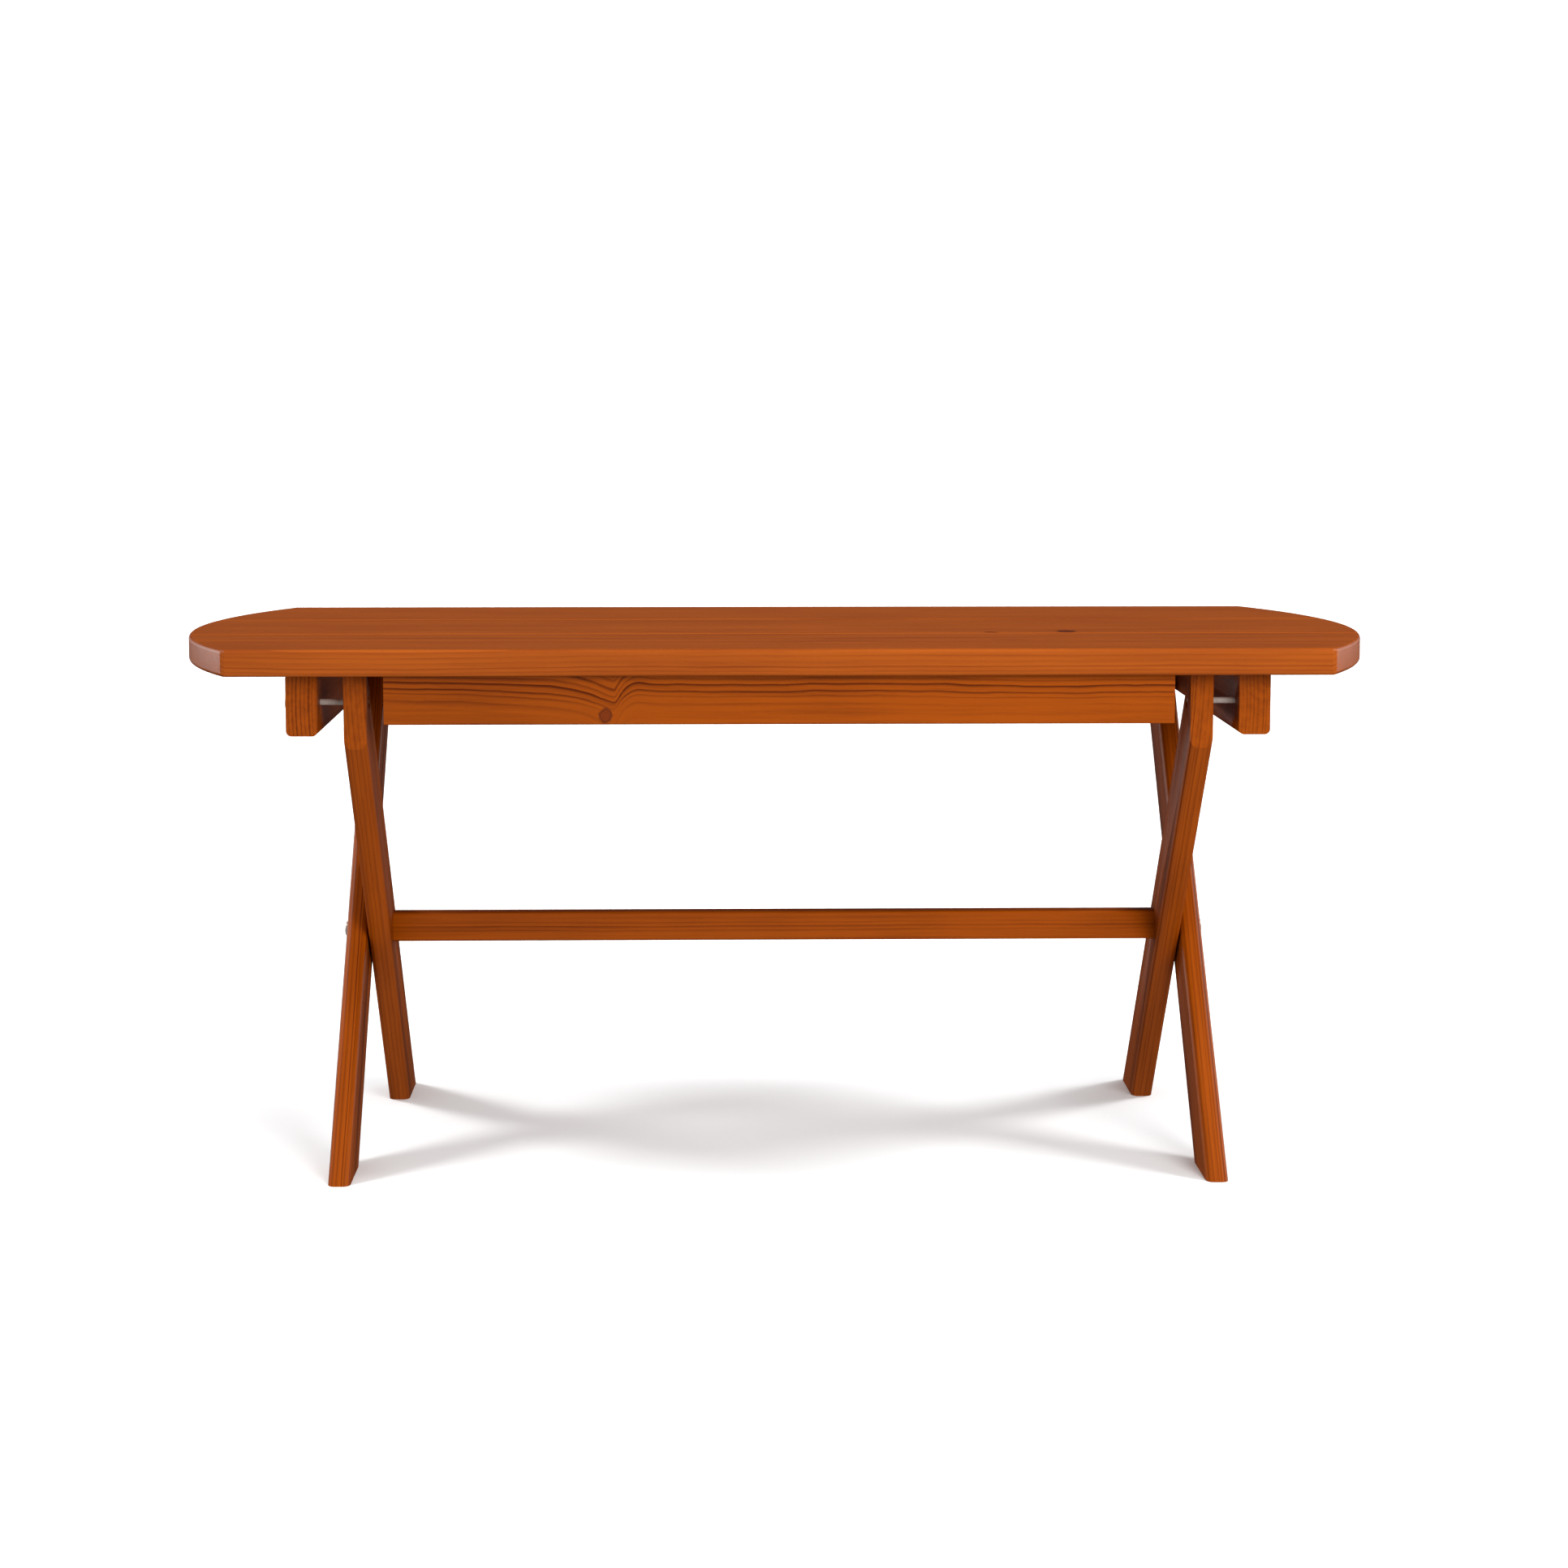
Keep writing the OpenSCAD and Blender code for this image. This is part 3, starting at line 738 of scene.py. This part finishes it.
def screw_tree():
    """A pan-head wood screw: its head's flat side is at X = 0, and its shank runs to -X."""
    sizes = lengths(head_radius=5, head_height=3, shank_radius=2.5, length=60, pitch=3)
    sizes += lengths(thread_depth=0.7, recess_across=5, recess_width=1, recess_depth=1.5)
    graph = shape_group("Screw", [*sizes, MATERIAL])
    given = graph.given
    head = button(graph, given["Head Radius"], given["Head Height"], 0.6)
    deep = graph.times(given["Recess Depth"], 2.0)
    blades = []
    for turn in (0.0, math.pi / 2):
        size = graph.combine(deep, given["Recess Across"], given["Recess Width"])
        blade = graph.add("GeometryNodeMeshCube", {"Size": size}).outputs[0]
        blades.append(placed(graph, blade, given["Head Height"], (turn, 0, 0)))
    head = cut(graph, head, *blades)
    inputs = {
        "Radius": given["Shank Radius"],
        "Length": given["Length"],
        "Pitch": given["Pitch"],
        "Depth": given["Thread Depth"],
        "Tip": graph.times(given["Pitch"], 2.0),
        "Tip Share": 0.15,
    }
    return on_points(graph, joined(graph, head, threaded(graph, inputs)), given["Material"])


def board_tree():
    """One board of the top, with rounded arrises and ends that follow one large arc."""
    sizes = lengths(table_length=1574, end_radius=946, width=266, thickness=34)
    sizes += lengths(edge_radius=5, middle_y=0, middle_z=683)
    graph = shape_group("Top board", [*sizes, MATERIAL])
    given = graph.given
    corner_steps = 5
    counts = (2 * corner_steps + 28, 2 * corner_steps + 16, 2 * corner_steps + 1)
    corner_shares = [2 * corner_steps / count for count in counts]
    inputs = {"Vertices " + axis: count + 1 for axis, count in zip("XYZ", counts)}
    inputs["Size"] = (2, 2, 2)
    block = graph.add("GeometryNodeMeshCube", inputs).outputs[0]
    here = graph.split(graph.add("GeometryNodeInputPosition").outputs[0])
    edge = given["Edge Radius"]

    def spread(axis, half):
        """Where a block coordinate lies on the inner box, and how far past it."""
        corner = corner_shares[axis]
        size = graph.math("ABSOLUTE", here[axis])
        way = graph.math("SIGN", here[axis])
        flat = graph.math("MINIMUM", graph.over(size, 1 - corner), 1.0)
        past = graph.math("MAXIMUM", graph.over(graph.minus(size, 1 - corner), corner), 0.0)
        past = graph.math("TANGENT", graph.times(past, math.pi / 4))
        return graph.times(flat, way, graph.minus(half, edge)), graph.times(past, way, edge)

    inner_y, past_y = spread(1, graph.times(given["Width"], 0.5))
    inner_z, past_z = spread(2, graph.times(given["Thickness"], 0.5))
    across = graph.plus(graph.plus(inner_y, past_y), given["Middle Y"])
    radius = given["End Radius"]
    rise = graph.minus(graph.times(radius, radius), graph.times(across, across))
    centre = graph.minus(graph.times(given["Table Length"], 0.5), radius)
    inner_x, past_x = spread(0, graph.plus(graph.math("SQRT", rise), centre))
    past = graph.vector("NORMALIZE", graph.combine(past_x, past_y, past_z))
    middle_of_board = graph.combine(0.0, given["Middle Y"], given["Middle Z"])
    inner = graph.vector("ADD", graph.combine(inner_x, inner_y, inner_z), middle_of_board)
    place = graph.vector("ADD", inner, graph.scaled(past, edge))
    shaped = graph.add("GeometryNodeSetPosition", {"Geometry": block, "Position": place}).outputs[0]
    return on_points(graph, shaped, given["Material"])


# ---- the user's sizes and colours ----


class FinishSettings(bpy.types.PropertyGroup):
    """How the pine is sawn, stained and varnished."""

    board_earlywood: FloatVectorProperty(
        name="Board earlywood", description="Stained colour of the pale wood in the top's boards",
        subtype="COLOR", size=3, min=0, max=1, default=(0.275, 0.056, 0.003),
    )
    board_latewood: FloatVectorProperty(
        name="Board latewood", description="Stained colour of the dark lines in the top's boards",
        subtype="COLOR", size=3, min=0, max=1, default=(0.14, 0.021, 0.001),
    )
    frame_earlywood: FloatVectorProperty(
        name="Frame earlywood", description="Stained colour of the pale wood in the frame",
        subtype="COLOR", size=3, min=0, max=1, default=(0.25, 0.046, 0.0006),
    )
    frame_latewood: FloatVectorProperty(
        name="Frame latewood", description="Stained colour of the dark lines in the frame",
        subtype="COLOR", size=3, min=0, max=1, default=(0.075, 0.0105, 0.0003),
    )
    ring_width: FloatProperty(
        name="Ring width", description="Width of one year's growth",
        unit="LENGTH", min=0.001, max=0.02, default=5.5 * MM,
    )
    varnish_roughness: FloatProperty(
        name="Varnish roughness", description="Roughness of the satin varnish",
        subtype="FACTOR", min=0, max=1, default=0.42,
    )
    board_shine: FloatProperty(
        name="Board shine", description="How strongly the varnish on the top reflects",
        subtype="FACTOR", min=0, max=1, default=0.15,
    )
    frame_shine: FloatProperty(
        name="Frame shine", description="How strongly the varnish on the frame reflects",
        subtype="FACTOR", min=0, max=1, default=0.1,
    )
    edge_radius: FloatProperty(
        name="Board edge radius", description="Rounding along the edges of the top's boards",
        unit="LENGTH", min=0.001, max=0.01, default=5 * MM,
    )
    end_radius: FloatProperty(
        name="End radius", description="Radius of the top's curved ends",
        unit="LENGTH", min=0.8, max=1.3, default=0.946,
    )
    eased_width: FloatProperty(
        name="Eased arris", description="Width of the sanded arris along every sharp edge",
        unit="LENGTH", min=0, max=0.003, default=0.7 * MM,
    )
    leg_slope: FloatProperty(
        name="Leg slope", description="Slope of the legs above the ground",
        unit="ROTATION", min=math.radians(40), max=math.radians(50), default=math.radians(46),
    )


class FittingSettings(bpy.types.PropertyGroup):
    """The metal fittings."""

    zinc_colour: FloatVectorProperty(
        name="Zinc", description="Colour of the zinc plate",
        subtype="COLOR", size=3, min=0, max=1, default=(0.72, 0.63, 0.56),
    )
    metal: FloatProperty(
        name="Metal", description="Share of the plate's look that is metallic",
        subtype="FACTOR", min=0, max=1, default=0.65,
    )
    bolt_pitch: FloatProperty(
        name="Bolt pitch", description="Thread pitch of the bolts",
        unit="LENGTH", min=0.0005, max=0.002, default=1.25 * MM,
    )
    screw_pitch: FloatProperty(
        name="Screw pitch", description="Thread pitch of the wood screws",
        unit="LENGTH", min=0.001, max=0.004, default=3 * MM,
    )
    bolt_radius: FloatProperty(
        name="Bolt radius", description="Radius of the bolts' shanks",
        unit="LENGTH", min=0.002, max=0.006, default=4 * MM,
    )
    head_height: FloatProperty(
        name="Head height", description="Height of the bolts' button heads",
        unit="LENGTH", min=0.002, max=0.008, default=4.9 * MM,
    )


class StageSettings(bpy.types.PropertyGroup):
    """Floor, lights and camera."""

    floor_colour: FloatVectorProperty(
        name="Floor", description="Colour of the floor",
        subtype="COLOR", size=3, min=0, max=1, default=(0.84, 0.86, 0.865),
    )
    side_light: FloatProperty(
        name="Side light", description="Strength of the two side lights", min=0, default=1.75,
    )
    front_light: FloatProperty(
        name="Front light", description="Strength of the light beside the camera", min=0, default=2.5,
    )
    rim_light: FloatProperty(
        name="Rim light", description="Strength of the lights behind the ends", min=0, default=0.5,
    )
    room_light: FloatProperty(
        name="Room light", description="Strength of the light from the room", min=0, default=0.85,
    )
    camera_place: FloatVectorProperty(
        name="Camera", description="Place of the camera",
        subtype="XYZ", unit="LENGTH", size=3, default=(-0.0929, -4.7126, 1.0422),
    )
    camera_pitch: FloatProperty(
        name="Camera pitch", description="How far the camera looks down",
        unit="ROTATION", default=math.radians(6.769),
    )
    camera_turn: FloatProperty(
        name="Camera turn", description="How far the camera is turned to the right",
        unit="ROTATION", default=math.radians(1.291),
    )
    lens: FloatProperty(
        name="Lens", description="Focal length on a 36 mm sensor, in millimetres", min=10, default=79.34,
    )


# ---- operators ----


class MakeBoards(bpy.types.Operator):
    """Make the three boards of the top"""

    bl_idname = "table.make_boards"
    bl_label = "Boards"

    def execute(self, context):
        finish = context.scene.table_finish
        tree = board_tree()
        low, high = CAD_BOX
        knots = {
            "middle_board": [
                branch(
                    Vector((0.389, -0.103, high.z)), 1.0,
                    half_length=11.0, half_width=15.0, reach=40.0, squeeze=0.55,
                ),
                branch(
                    Vector((0.286, -0.12, high.z)), 1.0,
                    half_length=8.0, half_width=6.0, reach=22.0, squeeze=0.5,
                ),
            ],
        }
        sideways = {"front_board": 0.02, "middle_board": -0.03, "back_board": 0.04}
        for number, (node, aside) in enumerate(sideways.items(), 1):
            bottom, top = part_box(node)
            centre = (bottom + top) / 2
            material = pine(
                node + "_pine", centre, ALONG_X, ALONG_Y, Vector((0, aside, -0.21)), number,
                boards=True, rings=0.95, waver=5.0, contrast=0.6, branches=knots.get(node, ()),
            )
            inputs = {
                "Table Length": high.x - low.x,
                "End Radius": finish.end_radius,
                "Width": top.y - bottom.y,
                "Thickness": top.z - bottom.z,
                "Edge Radius": finish.edge_radius,
                "Middle Y": centre.y,
                "Middle Z": centre.z,
                "Material": material,
            }
            grown(node, tree, [(Vector(), ALONG_X)], inputs)
        return {"FINISHED"}


class MakeBattens(bpy.types.Operator):
    """Make the battens under the top"""

    bl_idname = "table.make_battens"
    bl_label = "Battens"

    def execute(self, context):
        hearts = {
            "left_end_batten": Vector((0.5, 0, 0.0)),
            "right_end_batten": Vector((-0.46, 0, 0.0)),
            "middle_batten": Vector((0.02, 0, -0.09)),
        }
        for number, (node, heart) in enumerate(hearts.items(), 11):
            sawn(node, ALONG_Y, ALONG_Z, heart, number, rings=0.95, waver=1.0, contrast=0.85)
        return {"FINISHED"}


class MakeAprons(bpy.types.Operator):
    """Make the aprons under the top's long edges"""

    bl_idname = "table.make_aprons"
    bl_label = "Aprons"

    def execute(self, context):
        front, back = middle("front_apron"), middle("back_apron")
        knots = {
            "front_apron": branch(
                front + Vector((-0.22, 0, -0.02)), 0.6,
                half_length=7.5, half_width=8.0, reach=26.0, squeeze=0.3, pull=24.0, skew=0.5,
            ),
            "back_apron": branch(
                back + Vector((0.16, 0, 0.008)), 0.8,
                half_length=11.0, half_width=8.0, reach=45.0, squeeze=0.5,
            ),
        }
        hearts = {"front_apron": Vector((0, 0.03, -0.15)), "back_apron": Vector((0, -0.03, -0.14))}
        for number, (node, heart) in enumerate(hearts.items(), 21):
            sawn(
                node, ALONG_X, ALONG_Z, heart, number,
                rings=1.45, contrast=1.05, waver=14.0, band=(-18, 6), branches=[knots[node]],
            )
        return {"FINISHED"}


class MakeLegs(bpy.types.Operator):
    """Make the two crossed pairs of legs"""

    bl_idname = "table.make_legs"
    bl_label = "Legs"

    def execute(self, context):
        hearts = {
            "left_inner_leg": Vector((0.5, 0, 0.0)),
            "right_inner_leg": Vector((-0.48, 0, 0.0)),
            "left_outer_leg": Vector((0.47, 0, 0.0)),
            "right_outer_leg": Vector((-0.5, 0, 0.0)),
        }
        for number, (node, heart) in enumerate(hearts.items(), 31):
            sawn(node, leg_direction(node), ALONG_X, heart, number, waver=1.5, contrast=0.85)
        return {"FINISHED"}


class MakeStretcher(bpy.types.Operator):
    """Make the stretcher between the inner legs, and its dowels"""

    bl_idname = "table.make_stretcher"
    bl_label = "Stretcher"

    def execute(self, context):
        heart = Vector((0, 0.01, -0.09))
        sawn("stretcher", ALONG_X, ALONG_Z, heart, 41, ease=0.5, waver=3.0, contrast=0.45)
        width = context.scene.table_finish.eased_width
        eased("stretcher_dowels", beech(), width)
        return {"FINISHED"}


class MakeScrews(bpy.types.Operator):
    """Make the wood screws that hold the boards"""

    bl_idname = "table.make_screws"
    bl_label = "Wood screws"

    def execute(self, context):
        fittings = context.scene.table_fittings
        tree = screw_tree()
        head_height = 3 * MM
        for node in ("end_batten_screws", "middle_batten_screws", "apron_screws"):
            seats = []
            for low, high in solids(node):
                place = (low + high) / 2
                place.z = low.z + head_height
                seats.append((place, -ALONG_Z))
            inputs = {
                "Head Radius": (high.x - low.x) / 2,
                "Head Height": head_height,
                "Length": high.z - low.z - head_height,
                "Pitch": fittings.screw_pitch,
                "Material": zinc(),
            }
            grown(node, tree, seats, inputs)
        return {"FINISHED"}


class MakeBolts(bpy.types.Operator):
    """Make the button-headed bolts at the pivots, the crossings and the locks"""

    bl_idname = "table.make_bolts"
    bl_label = "Bolts"

    def execute(self, context):
        fittings = context.scene.table_fittings
        tree = bolt_tree()
        height = fittings.head_height
        kinds = {
            "pivot_bolts": (1, False, 16 * MM),
            "crossing_bolts": (1, True, 24 * MM),
            "left_lock_bolt": (-1, False, 30 * MM),
            "right_lock_bolt": (-1, False, 30 * MM),
        }
        for node, (outward, has_socket, thread) in kinds.items():
            seats = []
            for low, high in solids(node):
                place = (low + high) / 2
                way = math.copysign(outward, outward * place.x)
                place.x = high.x - height if way > 0 else low.x + height
                seats.append((place, ALONG_X * way))
            inputs = {
                "Head Radius": (high.y - low.y) / 2,
                "Head Height": height,
                "Shank Radius": fittings.bolt_radius,
                "Length": high.x - low.x - height,
                "Thread Length": thread,
                "Pitch": fittings.bolt_pitch,
                "Has Socket": has_socket,
                "Has Neck": not has_socket,
                "Material": zinc(),
            }
            grown(node, tree, seats, inputs)
        return {"FINISHED"}


class MakeWashers(bpy.types.Operator):
    """Make the washers"""

    bl_idname = "table.make_washers"
    bl_label = "Washers"

    def execute(self, context):
        tree = washer_tree()
        names = ["pivot_washers", "crossing_head_washers", "crossing_leg_washers"]
        names += [f"{side}_{kind}_washer" for side in ("left", "right") for kind in ("spacer", "lock")]
        for node in names:
            seats = []
            for low, high in solids(node):
                place = (low + high) / 2
                place.x = low.x
                seats.append((place, ALONG_X))
            inputs = {
                "Outer Radius": (high.y - low.y) / 2,
                "Thickness": high.x - low.x,
                "Material": zinc(),
            }
            grown(node, tree, seats, inputs)
        return {"FINISHED"}


class MakeNuts(bpy.types.Operator):
    """Make the lock nuts, the barrel nuts and the wing nuts"""

    bl_idname = "table.make_nuts"
    bl_label = "Nuts"

    def execute(self, context):
        for node in ("pivot_lock_nuts", "barrel_nuts"):
            eased(node, zinc(), 0.4 * MM)
        for side in ("left", "right"):
            eased(side + "_wing_nut", zinc(), 0.9 * MM, segments=3)
        return {"FINISHED"}


class MakeStage(bpy.types.Operator):
    """Make the floor, the lights and the camera"""

    bl_idname = "table.make_stage"
    bl_label = "Stage"

    def execute(self, context):
        stage = context.scene.table_stage
        self.make_floor(stage)
        self.make_room(context.scene, stage)
        self.make_lamp("left_lamp", (-1.0, 0.0, 1.1), stage.side_light, softness=16)
        self.make_lamp("right_lamp", (1.0, -0.05, 0.85), stage.side_light * 1.15, softness=18)
        self.make_panel("front_panel", Vector((1.6, -4.4, 1.75)), stage.front_light)
        self.make_lamp("left_rim", (-0.8, 0.75, 0.15), stage.rim_light * 1.7, softness=30)
        self.make_lamp("right_rim", (0.8, 0.75, 0.15), stage.rim_light, softness=30)
        self.make_camera(context.scene, stage)
        context.scene.view_settings.view_transform = "Standard"
        return {"FINISHED"}

    def make_floor(self, stage):
        """A wide level floor with a faint mottle."""
        mesh = bpy.data.meshes.new("floor")
        reach = 14.0
        corners = [(x * reach, y * reach, 0) for x, y in ((-1, -1), (1, -1), (1, 1), (-1, 1))]
        mesh.from_pydata(corners, [], [(0, 1, 2, 3)])
        floor = new_object("floor", mesh)
        material, graph = new_material("floor_paper")
        place = graph.add("ShaderNodeTexCoord").outputs["Object"]
        mottle = graph.noise(place, 9.0, 3.0)["Fac"]
        shade = graph.linear(mottle, 0.02, 0.99)
        colour = graph.scaled((*stage.floor_colour,), shade)
        end_with_surface(graph, {"Base Color": colour, "Roughness": 0.9, "Specular IOR Level": 0.0})
        mesh.materials.append(material)
        floor.visible_glossy = False
        floor.visible_diffuse = False

    def make_room(self, scene, stage):
        """Even light from all round, a little less from behind, which gloss hardly mirrors."""
        seen_white = 1.1
        mirrored = 0.05
        world = bpy.data.worlds.new("room")
        world.use_nodes = True
        graph = Graph(world.node_tree)
        graph.tree.nodes.clear()
        way = graph.add("ShaderNodeTexCoord").outputs["Generated"]
        _, back, up = graph.split(way)
        ceiling = graph.ramp(up, -0.25, 0.25, 0.95, 1.0)
        light = graph.times(ceiling, graph.linear(back, -0.25, 1.0), stage.room_light)
        path = graph.add("ShaderNodeLightPath").outputs
        glossy, seen = path["Is Glossy Ray"], path["Is Camera Ray"]
        light = graph.times(light, graph.linear(glossy, mirrored - 1, 1.0), graph.minus(1.0, seen))
        light = graph.linear(seen, seen_white, light)
        background = graph.add("ShaderNodeBackground", {"Color": (1, 1, 1, 1), "Strength": light})
        graph.add("ShaderNodeOutputWorld", {"Surface": background.outputs[0]})
        scene.world = world

    def make_panel(self, name, place, strength):
        """A round soft panel that faces the middle of the table."""
        aim = ALONG_Z * 0.4
        lamp = bpy.data.lights.new(name, "AREA")
        lamp.shape = "DISK"
        lamp.size = 2.0
        lamp.energy = strength * math.pi * place.length_squared
        panel = new_object(name, lamp)
        panel.location = place
        panel.rotation_euler = (place - aim).to_track_quat("Z", "Y").to_euler()
        panel.visible_glossy = False
        panel.visible_camera = False

    def make_lamp(self, name, toward, strength, softness):
        """A far lamp, seen toward a direction, whose disc is softness degrees wide."""
        lamp = bpy.data.lights.new(name, "SUN")
        lamp.energy = strength
        lamp.angle = math.radians(softness)
        obj = new_object(name, lamp)
        obj.rotation_euler = Vector(toward).to_track_quat("Z", "Y").to_euler()
        obj.location = Vector(toward) * 3

    def make_camera(self, scene, stage):
        camera = new_object("camera", bpy.data.cameras.new("camera"))
        camera.data.lens = stage.lens
        camera.data.sensor_width = 36
        camera.data.clip_end = 100
        camera.location = stage.camera_place
        camera.rotation_euler = (math.pi / 2 - stage.camera_pitch, 0, -stage.camera_turn)
        scene.camera = camera


class TablePanel(bpy.types.Panel):
    """Lists the table's settings and what makes its pieces"""

    bl_idname = "VIEW3D_PT_garden_table"
    bl_label = "Folding garden table"
    bl_space_type = "VIEW_3D"
    bl_region_type = "UI"
    bl_category = "Table"

    def draw(self, context):
        for group in SETTINGS:
            settings = getattr(context.scene, group)
            box = self.layout.box()
            for name in settings.__annotations__:
                box.prop(settings, name)
        for maker in MAKERS:
            self.layout.operator(maker.bl_idname)


MAKERS = (
    MakeStage, MakeBoards, MakeBattens, MakeAprons, MakeLegs, MakeStretcher,
    MakeScrews, MakeBolts, MakeWashers, MakeNuts,
)
SETTINGS = {
    "table_finish": FinishSettings,
    "table_fittings": FittingSettings,
    "table_stage": StageSettings,
}


def register():
    for kind in (*SETTINGS.values(), *MAKERS, TablePanel):
        bpy.utils.register_class(kind)
    for name, kind in SETTINGS.items():
        setattr(bpy.types.Scene, name, PointerProperty(type=kind))


def unregister():
    for name in SETTINGS:
        delattr(bpy.types.Scene, name)
    for kind in reversed((*SETTINGS.values(), *MAKERS, TablePanel)):
        bpy.utils.unregister_class(kind)


def main():
    register()
    for maker in MAKERS:
        group, action = maker.bl_idname.split(".")
        getattr(getattr(bpy.ops, group), action)()


if __name__ == "__main__":
    main()
